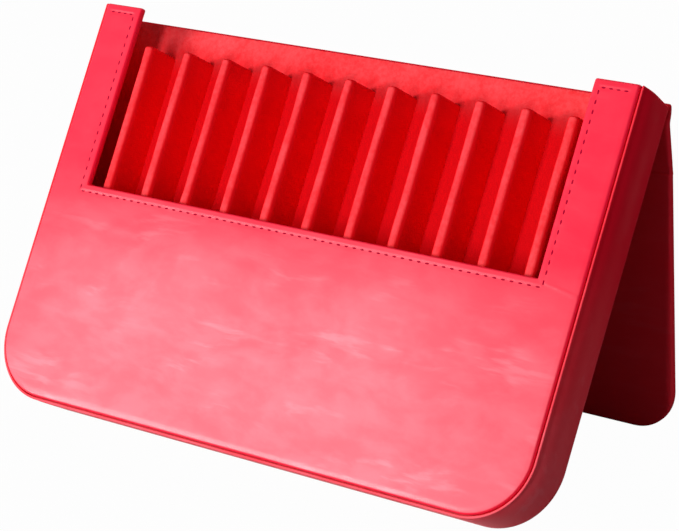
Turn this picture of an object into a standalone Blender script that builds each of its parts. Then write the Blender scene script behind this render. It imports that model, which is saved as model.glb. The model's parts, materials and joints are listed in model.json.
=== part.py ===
"""Leather pen case: a shallow box with a windowed front, twelve lined slots, and a two-fold cover.

The cover hinges on the back panel's top edge. It closes over the top and the window, and folded
back it stands the case up like an easel, which is how it rests here.
Lengths are in metres. The case is built in its own frame: X to the right, Y from the front face
to the back, Z up the front face. Each cover panel is built in the frame of its own hinge: Y away
from the hinge line, the lined side towards +Z, the leather side towards -Z.
"""

import math

import bmesh
import bpy
import numpy as np

# Driving sizes of the case
CASE_WIDTH = 0.265
CASE_HEIGHT = 0.1705
CASE_DEPTH = 0.0236
CORNER_RADIUS = 0.0271
POST_WIDTH = 0.0209
WINDOW_HEIGHT = 0.078
FLAP_OVERLAP = 0.0315
FLAP_CORNER_RADIUS = 0.018

# Sheet materials and the glue line between them
LEATHER = 0.0008
LINING = 0.0006
FRONT_BOARD = 0.0012
WALL_BOARD = 0.0025
BACK_BOARD = 0.0018
COVER_BOARD = 0.0014
SEAM = 0.00015

# Edges: leather is turned round each board, and a bead stands round the front panel
EDGE_RADIUS = 0.0007
RIM_RADIUS = 0.0003
SMALL_CORNER = 0.0016
BEAD_WIDTH = 0.0011
BEAD_DROP = 0.0007
PANEL_GAP = 0.0003
CROWN_HEIGHT = 0.0005
CROWN_REACH = 0.0075
WALL_GAP = 0.0003
BACK_TOP_DROP = 0.0016

# Slots
DIVIDER_PITCH = 0.021
DIVIDER_THICKNESS = 0.0050
DIVIDER_NOSE = 0.0018
DIVIDER_TOP_ROUND = 0.0015
DIVIDER_DROP = 0.0148
DIVIDER_CORE = 0.0012
DIVIDER_CLEARANCE = 0.0005
END_SLOT_WIDTH = 0.015
FLOOR_PAD = 0.004

# Cover hinges
HINGE_OUT = 0.0002
HINGE_DROP = 0.0008
FOLD_OUT = 0.0005
HINGE_BEAD = 0.0005
HINGE_GAP = 0.0003
TONGUE = 0.0015
TOP_JOINT_WIDTH = 0.0070
FOLD_JOINT_WIDTH = 0.0015
COVER_CLEARANCE = 0.0003

# Hidden closing magnets
MAGNET_DIAMETER = 0.010
MAGNET_THICKNESS = 0.001
MAGNET_SPACING = 0.170

# How the cover stands in the easel pose, as angles on from the panel before it
SPINE_REST = math.radians(-51.0)
FLAP_REST = math.radians(-5.8)

# Facets
CORNER_STEPS = 12
SMALL_STEPS = 3
EDGE_STEPS = 3
ROUND_STEPS = 24
SHARP_ANGLE = math.radians(40)
LEAN_STEPS = 60

# Cutters run past what they cut by this much
OVERRUN = 0.002

# Places worked out from the sizes above
PANEL_INSET = BEAD_WIDTH + PANEL_GAP
FRONT_DEPTH = LEATHER + SEAM + FRONT_BOARD + SEAM + LINING
BACK_FRONT = CASE_DEPTH - (LEATHER + SEAM + BACK_BOARD + SEAM)
BACK_LINING_FRONT = BACK_FRONT - SEAM - LINING
BACK_TOP = CASE_HEIGHT - BACK_TOP_DROP
HEM_FRONT = FRONT_DEPTH + SEAM
HEM_BACK = HEM_FRONT + LEATHER
WALL_BACK = BACK_FRONT - WALL_GAP
BOARD_INSET = LEATHER + SEAM
LINING_INSET = BOARD_INSET + WALL_BOARD + SEAM
INNER_INSET = LINING_INSET + LINING
WINDOW_BOTTOM = CASE_HEIGHT - WINDOW_HEIGHT
COVER_DEPTH = LEATHER + SEAM + COVER_BOARD + SEAM + LINING
HINGE_Y = CASE_DEPTH + HINGE_OUT
HINGE_Z = CASE_HEIGHT - HINGE_DROP
SPINE_LINED_FACE = -(HINGE_DROP + COVER_CLEARANCE)
FOLD_Z = SPINE_LINED_FACE - FOLD_OUT
FOLD_Y = HINGE_Y + CROWN_HEIGHT + COVER_CLEARANCE + FOLD_OUT
FLAP_LENGTH = WINDOW_HEIGHT + FLAP_OVERLAP
MAGNET_FROM_FOOT = FLAP_OVERLAP / 2
MAGNET_HEIGHT = HINGE_Z - FOLD_Z - FLAP_LENGTH + MAGNET_FROM_FOOT


def material(name, colour, roughness, metallic=0.0):
    """A plain Principled material."""
    made = bpy.data.materials.new(name)
    made.use_nodes = True
    shader = made.node_tree.nodes["Principled BSDF"]
    shader.inputs["Base Color"].default_value = (*colour, 1)
    shader.inputs["Roughness"].default_value = roughness
    shader.inputs["Metallic"].default_value = metallic
    return made


def frame(name, parent, y, z, turn):
    """An empty whose X axis is a hinge line, turned about it."""
    empty = bpy.data.objects.new(name, None)
    bpy.context.collection.objects.link(empty)
    empty.parent = parent
    empty.location = (0, y, z)
    empty.rotation_euler = (turn, 0, 0)
    return empty


def arc(x, z, radius, start, end, steps):
    """Points on a circle's arc, angles in degrees."""
    angles = [math.radians(start + (end - start) * k / steps) for k in range(steps + 1)]
    return [(x + radius * math.cos(a), z + radius * math.sin(a)) for a in angles]


# Which way a square corner points, by the angle that its rounding starts at
CORNER_WAYS = {180: (-1, -1), 270: (1, -1), 0: (1, 1), 90: (-1, 1)}


def corner(x, z, radius, inset, start, steps):
    """One rounded corner of an outline: (x, z) is its square corner before the inset."""
    way_x, way_z = CORNER_WAYS[start]
    small = max(radius - inset, radius / CORNER_STEPS)
    middle_x = x - way_x * (inset + small)
    middle_z = z - way_z * (inset + small)
    return arc(middle_x, middle_z, small, start, start + 90, steps)


def plate_outline(width, low, high, low_radius, high_radius, inset):
    """A plate centred on X = 0, with its low and high corners rounded."""
    half = width / 2
    low_steps = CORNER_STEPS if low_radius > SMALL_CORNER else SMALL_STEPS
    high_steps = CORNER_STEPS if high_radius > SMALL_CORNER else SMALL_STEPS
    return [
        *corner(-half, low, low_radius, inset, 180, low_steps),
        *corner(half, low, low_radius, inset, 270, low_steps),
        *corner(half, high, high_radius, inset, 0, high_steps),
        *corner(-half, high, high_radius, inset, 90, high_steps),
    ]


def front_outline(inset):
    """The front panel: inside the bead at its sides and foot, with the window cut down from its top."""
    half = CASE_WIDTH / 2 - PANEL_INSET
    radius = CORNER_RADIUS - PANEL_INSET
    window = POST_WIDTH - CASE_WIDTH / 2 - inset
    sill = WINDOW_BOTTOM - inset
    return [
        *corner(-half, PANEL_INSET, radius, inset, 180, CORNER_STEPS),
        *corner(half, PANEL_INSET, radius, inset, 270, CORNER_STEPS),
        *corner(half, CASE_HEIGHT, SMALL_CORNER, inset, 0, SMALL_STEPS),
        (-window, CASE_HEIGHT - inset),
        (-window, sill),
        (window, sill),
        (window, CASE_HEIGHT - inset),
        *corner(-half, CASE_HEIGHT, SMALL_CORNER, inset, 90, SMALL_STEPS),
    ]


def back_outline(inset):
    return plate_outline(CASE_WIDTH, 0, BACK_TOP, CORNER_RADIUS, SMALL_CORNER, inset)


def spine_outline(inset):
    far = FOLD_Y - FOLD_JOINT_WIDTH
    return plate_outline(CASE_WIDTH, TOP_JOINT_WIDTH, far, SMALL_CORNER, SMALL_CORNER, inset)


def flap_outline(inset):
    return plate_outline(
        CASE_WIDTH, FOLD_JOINT_WIDTH, FLAP_LENGTH, SMALL_CORNER, FLAP_CORNER_RADIUS, inset
    )


def mesh_object(name, build, look, parent):
    """An object from a function that fills a bmesh, with its faces turned out."""
    shape = bmesh.new()
    build(shape)
    bmesh.ops.recalc_face_normals(shape, faces=shape.faces)
    mesh = bpy.data.meshes.new(name)
    shape.to_mesh(mesh)
    shape.free()
    mesh.shade_smooth()
    mesh.set_sharp_from_angle(angle=SHARP_ANGLE)
    mesh.materials.append(look)
    made = bpy.data.objects.new(name, mesh)
    bpy.context.collection.objects.link(made)
    made.parent = parent
    return made


def loft(name, rings, look, parent):
    """A closed solid through rings of points, capped at the first and the last ring."""

    def build(shape):
        loops = [[shape.verts.new(point) for point in ring] for ring in rings]
        for low, high in zip(loops, loops[1:]):
            for k, vert in enumerate(low):
                following = (k + 1) % len(low)
                shape.faces.new((vert, low[following], high[following], high[k]))
        shape.faces.new(loops[0])
        shape.faces.new(loops[-1])

    return mesh_object(name, build, look, parent)


def boolean(target, cutter, operation="DIFFERENCE"):
    """Cuts or joins a helper, which stays out of the render."""
    cutter.hide_render = True
    cutter.display_type = "WIRE"
    cut = target.modifiers.new(cutter.name, "BOOLEAN")
    cut.operation = operation
    cut.object = cutter


def upright(outline, y):
    """An outline as a ring that stands in the case's frame at one depth."""
    return [(x, y, z) for x, z in outline]


def flat(outline, z):
    """An outline as a ring that lies in a cover panel's frame at one height."""
    return [(x, y, z) for x, y in outline]


def sheet(name, outline, start, end, place, look, parent):
    """A flat sheet between two levels."""
    return loft(name, [place(outline, start), place(outline, end)], look, parent)


def tray(name, outline, face, way, depth, place, look, parent, crown=()):
    """A leather cover turned round a board: a flat face, rounded edges, and a pocket behind.

    face is the level of the leather side, and way, 1 or -1, points from it to the pocket's mouth.
    crown holds (inset, height) pairs for a padded face, from its middle to its edge.
    """
    rings = [place(outline(inset), face - way * height) for inset, height in crown]
    for k in range(EDGE_STEPS + 1):
        turn = math.pi / 2 * k / EDGE_STEPS
        inset = EDGE_RADIUS * (1 - math.sin(turn))
        rings.append(place(outline(inset), face + way * EDGE_RADIUS * (1 - math.cos(turn))))
    for k in range(EDGE_STEPS + 1):
        turn = math.pi / 2 * k / EDGE_STEPS
        inset = RIM_RADIUS * (1 - math.cos(turn))
        level = depth - RIM_RADIUS * (1 - math.sin(turn))
        rings.append(place(outline(inset), face + way * level))
    rings.append(place(outline(LEATHER), face + way * depth))
    rings.append(place(outline(LEATHER), face + way * LEATHER))
    return loft(name, rings, look, parent)


def wall_top(y):
    """The side wall's upper end: level behind the front panel, then down to the back panel."""
    share = (y - HEM_BACK) / (BACK_FRONT - HEM_BACK)
    return CASE_HEIGHT - BACK_TOP_DROP * min(max(share, 0), 1)


def band(name, section, drop, look, parent):
    """A section swept down one side, round both lower corners and up the other side.

    section holds (inset, y) points, and drop is how far its ends stop below the wall's top.
    """
    half = CASE_WIDTH / 2
    middle = half - CORNER_RADIUS
    rings = [[(inset - half, y, wall_top(y) - drop) for inset, y in section]]
    for side, start in ((-middle, 180), (middle, 270)):
        for k in range(CORNER_STEPS + 1):
            turn = math.radians(start + 90 * k / CORNER_STEPS)
            ring = []
            for inset, y in section:
                radius = CORNER_RADIUS - inset
                x = side + radius * math.cos(turn)
                z = CORNER_RADIUS + radius * math.sin(turn)
                ring.append((x, y, z))
            rings.append(ring)
    rings.append([(half - inset, y, wall_top(y) - drop) for inset, y in section])
    return loft(name, rings, look, parent)


def rectangle(low_x, high_x, low_y, high_y):
    return [(low_x, low_y), (high_x, low_y), (high_x, high_y), (low_x, high_y)]


def disc(name, x, y, radius, start, end, place, look, parent):
    """A round disc between two levels, standing or lying as place says."""
    circle = arc(x, y, radius, 0, 360, ROUND_STEPS)[:-1]
    return sheet(name, circle, start, end, place, look, parent)


def front_panel(leather, board, lining, steel, case):
    """The padded front: turned leather, a board with two magnets let in, and a lining."""
    crown = [(CROWN_REACH, CROWN_HEIGHT), (CROWN_REACH / 2, CROWN_HEIGHT * 3 / 4)]
    tray("front_leather", front_outline, 0, 1, FRONT_DEPTH, upright, leather, case, crown)
    start = LEATHER + SEAM
    stiffener = sheet(
        "front_board", front_outline(BOARD_INSET), start, start + FRONT_BOARD, upright, board, case
    )
    back = start + FRONT_BOARD + SEAM
    sheet("front_lining", front_outline(BOARD_INSET), back, FRONT_DEPTH, upright, lining, case)
    middle = start + FRONT_BOARD / 2
    for side, way in (("left", -1), ("right", 1)):
        x = way * MAGNET_SPACING / 2
        hole = disc(
            f"front_magnet_hole_{side}", x, MAGNET_HEIGHT, MAGNET_DIAMETER / 2 + SEAM,
            middle - OVERRUN, middle + OVERRUN, upright, board, case,
        )
        boolean(stiffener, hole)
        disc(
            f"front_magnet_{side}", x, MAGNET_HEIGHT, MAGNET_DIAMETER / 2,
            middle - MAGNET_THICKNESS / 2, middle + MAGNET_THICKNESS / 2, upright, steel, case,
        )


def side_wall(leather, board, lining, case):
    """The wall: leather with a bead along the front and a hem under the front panel."""
    bead = [
        (BEAD_WIDTH / 2 + x, BEAD_DROP + BEAD_WIDTH / 2 + y)
        for x, y in arc(0, 0, BEAD_WIDTH / 2, 180, 360, 2 * SMALL_STEPS)
    ]
    back_edge = [
        (RIM_RADIUS + x, WALL_BACK - RIM_RADIUS + y)
        for x, y in arc(0, 0, RIM_RADIUS, 90, 180, SMALL_STEPS)
    ]
    block = [
        *bead,
        (BEAD_WIDTH, HEM_FRONT),
        (LINING_INSET - SEAM, HEM_FRONT),
        (LINING_INSET - SEAM, WALL_BACK),
        *back_edge,
    ]
    skin = band("side_leather", block, 0, leather, case)
    pocket = rectangle(LEATHER, LINING_INSET + OVERRUN, HEM_BACK, WALL_BACK + OVERRUN)
    boolean(skin, band("side_pocket", pocket, LEATHER, leather, case))
    core = rectangle(BOARD_INSET, BOARD_INSET + WALL_BOARD, HEM_BACK + SEAM, WALL_BACK)
    band("side_board", core, BOARD_INSET, board, case)
    face = rectangle(LINING_INSET, INNER_INSET, HEM_FRONT, BACK_LINING_FRONT - SEAM)
    band("side_lining", face, RIM_RADIUS, lining, case)


def back_panel(leather, board, lining, case):
    """The back: turned leather outside, a board, and a lining that runs to the top edge."""
    tray(
        "back_leather", back_outline, CASE_DEPTH, -1, CASE_DEPTH - BACK_FRONT, upright, leather, case
    )
    sheet(
        "back_board", back_outline(BOARD_INSET), BACK_FRONT + SEAM, CASE_DEPTH - LEATHER - SEAM,
        upright, board, case,
    )
    inset = INNER_INSET + SEAM
    face = plate_outline(CASE_WIDTH, 0, BACK_TOP + inset, CORNER_RADIUS, SMALL_CORNER, inset)
    sheet("back_lining", face, BACK_LINING_FRONT, BACK_FRONT - SEAM, upright, lining, case)


def slots(board, lining, case):
    """The padded floor and the dividers, each a card core in a cover with a rounded front and top."""
    inset = INNER_INSET + SEAM
    radius = CORNER_RADIUS - inset
    pad_top = inset + FLOOR_PAD
    middle = CASE_WIDTH / 2 - CORNER_RADIUS
    reach = math.degrees(math.asin(min((CORNER_RADIUS - pad_top) / radius, 1)))
    floor = [
        *arc(-middle, CORNER_RADIUS, radius, 180 + reach, 270, CORNER_STEPS),
        *arc(middle, CORNER_RADIUS, radius, 270, 360 - reach, CORNER_STEPS),
    ]
    back = BACK_LINING_FRONT - SEAM
    sheet("floor_pad", floor, HEM_FRONT, back, upright, lining, case)

    front = FRONT_DEPTH + DIVIDER_CLEARANCE
    foot = pad_top + SEAM
    top = CASE_HEIGHT - DIVIDER_DROP
    half = DIVIDER_THICKNESS / 2
    core_half = DIVIDER_CORE / 2
    nose = front + DIVIDER_NOSE
    nose_half = half - DIVIDER_NOSE
    core_top = top - DIVIDER_TOP_ROUND
    free = CASE_WIDTH / 2 - INNER_INSET - half - END_SLOT_WIDTH
    each_side = int(free / DIVIDER_PITCH)

    def cover_ring(x, inset, z):
        left = arc(x - nose_half, nose, DIVIDER_NOSE - inset, 180, 270, EDGE_STEPS)
        right = arc(x + nose_half, nose, DIVIDER_NOSE - inset, 270, 360, EDGE_STEPS)
        return flat([(x + inset - half, back), *left, *right, (x + half - inset, back)], z)

    for number in range(2 * each_side + 1):
        x = (number - each_side) * DIVIDER_PITCH
        rings = [cover_ring(x, 0, foot)]
        for k in range(EDGE_STEPS + 1):
            turn = math.pi / 2 * k / EDGE_STEPS
            inset = DIVIDER_TOP_ROUND * (1 - math.cos(turn))
            level = top - DIVIDER_TOP_ROUND * (1 - math.sin(turn))
            rings.append(cover_ring(x, inset, level))
        label = f"{number + 1:02d}"
        cover = loft(f"divider_cover_{label}", rings, lining, case)
        slit = rectangle(x - core_half - SEAM, x + core_half + SEAM, nose - SEAM, back + OVERRUN)
        boolean(
            cover,
            sheet(f"divider_slit_{label}", slit, foot - OVERRUN, core_top + SEAM, flat, lining, case),
        )
        core = rectangle(x - core_half, x + core_half, nose, back)
        sheet(f"divider_core_{label}", core, foot, core_top, flat, board, case)


def strip(name, profile, look, parent):
    """A leather strip along a hinge line, from its end profile in Y and Z."""
    half = CASE_WIDTH / 2 - SMALL_CORNER
    rings = [[(x, y, z) for y, z in profile] for x in (-half, half)]
    return loft(name, rings, look, parent)


def tongue(name, face, reach, bead, look, parent):
    """The leather joint at a panel's hinge edge: a bead on the hinge line and a strip to the panel."""
    nose = arc(0, 0, bead, 90, 270, 2 * SMALL_STEPS)
    return strip(name, [*nose, (reach, face - TONGUE), (reach, face)], look, parent)


def cover_panel(name, outline, face, leather, board, lining, parent):
    """A cover panel: turned leather on one side, a board, and a lining on the other."""
    skin_face = face - COVER_DEPTH
    skin = tray(f"{name}_leather", outline, skin_face, 1, COVER_DEPTH, flat, leather, parent)
    start = skin_face + LEATHER + SEAM
    stiffener = sheet(
        f"{name}_board", outline(BOARD_INSET), start, start + COVER_BOARD, flat, board, parent
    )
    sheet(f"{name}_lining", outline(BOARD_INSET), face - LINING, face, flat, lining, parent)
    return skin, stiffener, start + COVER_BOARD / 2


def cover(leather, board, lining, steel, spine, flap):
    """The two cover panels, with the magnets that meet those of the front panel."""
    skin, _, _ = cover_panel(
        "spine", spine_outline, SPINE_LINED_FACE, leather, board, lining, spine
    )
    joint = tongue(
        "spine_tongue", SPINE_LINED_FACE, TOP_JOINT_WIDTH + LEATHER / 2, HINGE_BEAD, leather, spine
    )
    boolean(skin, joint, "UNION")
    far = FOLD_Y - FOLD_OUT - HINGE_GAP
    profile = rectangle(FOLD_Y - FOLD_JOINT_WIDTH - LEATHER / 2, far, FOLD_Z - FOLD_OUT, FOLD_Z)
    boolean(skin, strip("spine_lip", profile, leather, spine), "UNION")

    skin, stiffener, middle = cover_panel(
        "flap", flap_outline, FOLD_OUT, leather, board, lining, flap
    )
    joint = tongue(
        "flap_tongue", FOLD_OUT, FOLD_JOINT_WIDTH + LEATHER / 2, FOLD_OUT, leather, flap
    )
    boolean(skin, joint, "UNION")
    y = FLAP_LENGTH - MAGNET_FROM_FOOT
    for side, way in (("left", -1), ("right", 1)):
        x = way * MAGNET_SPACING / 2
        hole = disc(
            f"flap_magnet_hole_{side}", x, y, MAGNET_DIAMETER / 2 + SEAM,
            middle - OVERRUN, middle + OVERRUN, flat, board, flap,
        )
        boolean(stiffener, hole)
        disc(
            f"flap_magnet_{side}", x, y, MAGNET_DIAMETER / 2,
            middle - MAGNET_THICKNESS / 2, middle + MAGNET_THICKNESS / 2, flat, steel, flap,
        )


def world_points(objects):
    """Y and Z of every point of these objects as they stand now."""
    bpy.context.view_layer.update()
    graph = bpy.context.evaluated_depsgraph_get()
    found = []
    for each in objects:
        evaluated = each.evaluated_get(graph)
        for vert in evaluated.data.vertices:
            place = evaluated.matrix_world @ vert.co
            found.append((place.y, place.z))
    return np.array(found)


def lowest(points, lean):
    return (points[:, 1] * math.cos(lean) - points[:, 0] * math.sin(lean)).min()


def stand(case, flap):
    """Leans the case back until it and the flap's foot touch the ground together."""
    solids = [each for each in bpy.data.objects if each.type == "MESH" and not each.hide_render]
    body = world_points([each for each in solids if each.parent == case])
    foot = world_points([each for each in solids if each.parent == flap])
    low, high = 0.0, math.pi / 2
    for _ in range(LEAN_STEPS):
        lean = (low + high) / 2
        if lowest(foot, lean) > lowest(body, lean):
            low = lean
        else:
            high = lean
    case.rotation_euler.x = -lean
    standing = world_points(solids)
    case.location.y = -(standing[:, 0].min() + standing[:, 0].max()) / 2
    case.location.z = -standing[:, 1].min()
    print(f"leans back {math.degrees(lean):.2f} degrees")


def main():
    for old in list(bpy.data.objects):
        bpy.data.objects.remove(old)
    leather = material("leather", (0.80, 0.045, 0.075), 0.45)
    lining = material("lining", (0.75, 0.040, 0.050), 0.95)
    board = material("board", (0.42, 0.36, 0.28), 0.9)
    steel = material("steel", (0.60, 0.60, 0.62), 0.35, 1.0)
    case = frame("case_frame", None, 0, 0, 0)
    spine = frame("top_hinge", case, HINGE_Y, HINGE_Z, SPINE_REST)
    flap = frame("fold_hinge", spine, FOLD_Y, FOLD_Z, FLAP_REST)
    front_panel(leather, board, lining, steel, case)
    side_wall(leather, board, lining, case)
    back_panel(leather, board, lining, case)
    slots(board, lining, case)
    cover(leather, board, lining, steel, spine, flap)
    stand(case, flap)


main()
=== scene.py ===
"""Looks of the leather pen case: leather turned over boards, suede inside and a stitched window.

Lengths are in metres. A panel is modelled lying flat, outer face up and outer face at Z = 0, and
is then stood in the frame of the body that it belongs to. The case's frame has X to the right,
Y from the front face to the back and Z up the front face. A cover panel's frame has Y away from
its hinge line, with the lined side towards +Z.
"""

import json
import math

import bmesh
import bpy
from mathutils import Matrix, Vector, noise


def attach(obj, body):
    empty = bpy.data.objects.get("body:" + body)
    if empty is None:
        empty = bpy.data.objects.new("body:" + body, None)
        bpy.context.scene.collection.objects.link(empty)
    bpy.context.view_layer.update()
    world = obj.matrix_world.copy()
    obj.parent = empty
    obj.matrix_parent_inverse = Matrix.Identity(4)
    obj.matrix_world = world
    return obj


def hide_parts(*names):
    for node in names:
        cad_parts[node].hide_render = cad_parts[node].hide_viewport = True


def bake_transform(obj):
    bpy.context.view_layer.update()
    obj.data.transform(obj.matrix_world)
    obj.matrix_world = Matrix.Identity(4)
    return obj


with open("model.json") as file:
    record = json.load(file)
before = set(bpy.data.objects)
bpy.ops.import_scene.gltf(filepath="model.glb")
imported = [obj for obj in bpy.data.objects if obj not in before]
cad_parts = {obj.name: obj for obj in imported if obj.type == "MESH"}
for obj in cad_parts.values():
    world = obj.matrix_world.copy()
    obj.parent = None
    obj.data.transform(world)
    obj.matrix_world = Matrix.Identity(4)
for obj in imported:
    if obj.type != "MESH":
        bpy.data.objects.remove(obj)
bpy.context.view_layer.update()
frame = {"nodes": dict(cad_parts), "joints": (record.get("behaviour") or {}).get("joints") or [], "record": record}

X_WAY = Vector((1, 0, 0))
Y_WAY = Vector((0, 1, 0))
Z_WAY = Vector((0, 0, 1))
TINY = 0.000001

# Sizes of the case that the frame's boxes don't give
CORNER_RADIUS = 0.0271
POST_WIDTH = 0.0209
WINDOW_HEIGHT = 0.078
WALL_THICKNESS = 0.00345
BEAD_DROP = 0.0007
FLAP_CORNER_RADIUS = 0.018
TOP_JOINT_WIDTH = 0.0075
CROWN_HEIGHT = 0.0004
CROWN_REACH = 0.0030
WINDOW_DIP = 0.0003
WINDOW_DIP_REACH = 0.0026

# Leather and lining where they turn round an edge
FRONT_ROUND = 0.0009
FACE_ROUND = 0.0009
HEM_ROUND = 0.0006
LINING_SEAT = 0.0002
LINING_PROUD = 0.00005
LINING_INSET = 0.0018
LINING_ROUND = 0.00015

# Stitching round the window
STITCH_PITCH = 0.00383
SILL_STITCHES = 60
POST_STITCHES = 20
END_STITCHES = 4
SEAM_FROM_SILL = 0.0033
TOP_SEAM_DROP = 0.0035
END_SEAM_REACH = 0.0131
STITCH_LENGTH = 0.0021
STITCH_WIDTH = 0.00082
STITCH_HEIGHT = 0.00032
SEAM_DEPTH = 0.00016
SEAM_REACH = 0.0008

# Mesh spacing
FINE_CELL = STITCH_PITCH / 2
BROAD_CELL = 0.005
CORNER_STEPS = 20
SMALL_STEPS = 4
EDGE_RINGS = (0.0004, 0.0005, 0.0006, 0.0007, 0.0009, 0.0012)
SHARP_ANGLE = math.radians(50)
LEVEL_COSINE = 0.99
STANDING_COSINE = 0.5


def middle_of(points):
    return sum(points, Vector()) / len(points)


def points_of(name):
    return [vert.co.copy() for vert in frame["nodes"][name].data.vertices]


def case_frame():
    """The case's frame: its lean from the foot's mount, its origin from the wall's front foot."""
    foot = next(mount for mount in frame["record"]["mounts"] if mount["name"] == "base_face")
    lean = math.atan2(-foot["axis"][1], -foot["axis"][2])
    turn = Matrix.Rotation(-lean, 4, "X")
    back = turn.inverted()
    wall_points = [back @ point for point in points_of("side_leather")]
    face = min(point.y for point in wall_points) - BEAD_DROP
    origin = Vector((0, face, min(point.z for point in wall_points)))
    return turn @ Matrix.Translation(origin)


def cover_frame(joint_name, lining):
    """A cover panel's frame, from its hinge and the flat face of its lining."""
    joint = next(each for each in frame["joints"] if each["name"] == joint_name)
    hinge = Vector(joint["pos_m"])
    faces = frame["nodes"][lining].data.polygons
    flat_face = max(faces, key=lambda face: face.area)
    along = X_WAY.cross(flat_face.normal).normalized()
    if along.dot(middle_of(points_of(lining)) - hinge) < 0:
        along.negate()
    up = X_WAY.cross(along)
    return Matrix.Translation(hinge) @ Matrix((X_WAY, along, up)).transposed().to_4x4()


def local_box(place, name):
    """Lowest and highest corner of one of the part's nodes in a body's frame."""
    back = place.inverted()
    found = [back @ point for point in points_of(name)]
    low = Vector([min(point[k] for point in found) for k in range(3)])
    high = Vector([max(point[k] for point in found) for k in range(3)])
    return low, high


CASE = case_frame()
SPINE = cover_frame("top_hinge", "spine_lining")
FLAP = cover_frame("fold_hinge", "flap_lining")

wall_low, wall_high = local_box(CASE, "side_leather")
front_low, front_high = local_box(CASE, "front_leather")
back_low, back_high = local_box(CASE, "back_leather")
flap_low, flap_high = local_box(FLAP, "flap_leather")
case_half = wall_high.x
panel_half = front_high.x
panel_foot = front_low.z
panel_round = CORNER_RADIUS - (case_half - panel_half)
window_half = case_half - POST_WIDTH
sill = front_high.z - WINDOW_HEIGHT


def smooth_step(share):
    share = min(max(share, 0), 1)
    return share * share * (3 - 2 * share)


def noise_at(x, y, scale, shift=0.0):
    """Smooth noise from -1 to 1 over a flat panel."""
    return noise.noise(Vector((x * scale, y * scale, shift)))


# Shaping tools that the pieces share

def whole(shape):
    return shape.verts[:] + shape.edges[:] + shape.faces[:]


def cut(shape, way, places):
    """Cuts a shape across at each of these places, without parting it."""
    for place in places:
        bmesh.ops.bisect_plane(
            shape, geom=whole(shape), dist=TINY, plane_co=way * place, plane_no=way
        )


def spaced(low, high, cell, start=0.0):
    """Places between low and high on a grid of one cell that has a line at start."""
    first = math.ceil((low - start) / cell)
    last = math.floor((high - start) / cell)
    return [start + k * cell for k in range(first, last + 1)]


def flat_outline(shape, half, low, high, low_radius=0.0, high_radius=0.0):
    """A flat face centred on X = 0, its low and high corners rounded or left square."""
    corners = [(-half, low), (half, low), (half, high), (-half, high)]
    verts = [shape.verts.new((x, y, 0)) for x, y in corners]
    shape.faces.new(verts)
    for vert, radius in zip(verts, (low_radius, low_radius, high_radius, high_radius)):
        if radius:
            bmesh.ops.bevel(
                shape, geom=[vert], offset=radius, offset_type="OFFSET", segments=CORNER_STEPS,
                profile=0.5, affect="VERTICES", material=-1,
            )


def open_window(shape, half, low):
    """Cuts a window out of a flat face, down from its high edge to low."""
    cut(shape, X_WAY, (-half, half))
    cut(shape, Y_WAY, (low,))
    inside = []
    for face in shape.faces:
        middle = face.calc_center_median()
        if abs(middle.x) < half and middle.y > low:
            inside.append(face)
    bmesh.ops.delete(shape, geom=inside, context="FACES")


def thicken(shape, depth):
    """Turns a flat face into a closed plate that reaches down to -depth."""
    made = bmesh.ops.extrude_face_region(shape, geom=shape.faces[:])
    fresh = [part for part in made["geom"] if isinstance(part, bmesh.types.BMVert)]
    bmesh.ops.translate(shape, verts=fresh, vec=(0, 0, -depth))
    bmesh.ops.recalc_face_normals(shape, faces=shape.faces[:])
    shape.normal_update()


def rim_edges(shape, level):
    """The outline of a plate at one level: the edges where a standing face begins."""
    found = []
    for edge in shape.edges:
        lies = all(abs(vert.co.z - level) < TINY for vert in edge.verts)
        if lies and any(abs(face.normal.z) < STANDING_COSINE for face in edge.link_faces):
            found.append(edge)
    return found


def square_corners(shape):
    """The standing edges of a plate's square outer corners."""
    return [
        edge for edge in shape.edges
        if abs(edge.verts[0].co.z - edge.verts[1].co.z) > TINY
        and edge.is_convex and edge.calc_face_angle() > SHARP_ANGLE
    ]


def round_off(shape, edges, radius, steps=SMALL_STEPS):
    bmesh.ops.bevel(
        shape, geom=edges, offset=radius, offset_type="OFFSET", segments=steps,
        profile=0.5, affect="EDGES", material=-1,
    )
    shape.normal_update()


def turned_cover(
    half, low, high, low_radius, high_radius, depth, window=False, turn=FACE_ROUND
):
    """Leather turned round a board: a face with rounded edges and rings beside them."""
    shape = bmesh.new()
    flat_outline(shape, half, low, high, low_radius, high_radius)
    if window:
        open_window(shape, window_half, sill)
    thicken(shape, depth)
    round_off(shape, rim_edges(shape, 0) + square_corners(shape), turn)
    round_off(shape, rim_edges(shape, -depth), HEM_ROUND)
    top = [face for face in shape.faces if face.normal.z > LEVEL_COSINE]
    for step in EDGE_RINGS:
        bmesh.ops.inset_region(shape, faces=top, thickness=step, use_even_offset=True)
    return shape


def lining_sheet(half, low, high, low_radius, high_radius, thickness):
    """A sheet of lining with its edge slightly rounded, its open face at Z = 0."""
    shape = bmesh.new()
    flat_outline(shape, half, low, high, low_radius, high_radius)
    thicken(shape, thickness)
    round_off(shape, rim_edges(shape, 0), min(LINING_ROUND, thickness / 2), 2)
    return shape


def raise_face(shape, rise, depth):
    """Lifts the face of a plate by rise(x, y), and its rounded edge less and less."""
    for vert in shape.verts:
        share = 1 + vert.co.z / depth
        if share > 0:
            vert.co.z += rise(vert.co.x, vert.co.y) * smooth_step(share)


def add_object(name, data):
    made = bpy.data.objects.new(name, data)
    bpy.context.scene.collection.objects.link(made)
    return made


def finish_piece(name, shape, place, look, body, nodes=()):
    """Stands a shape in its place and makes it a piece of the object."""
    bmesh.ops.transform(shape, matrix=place, verts=shape.verts[:])
    mesh = bpy.data.meshes.new(name)
    shape.to_mesh(mesh)
    shape.free()
    mesh.shade_smooth()
    mesh.set_sharp_from_angle(angle=SHARP_ANGLE)
    mesh.materials.append(look)
    made = add_object(name, mesh)
    if body:
        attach(made, body)
    if nodes:
        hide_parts(*nodes)
    return made


# Materials

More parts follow.
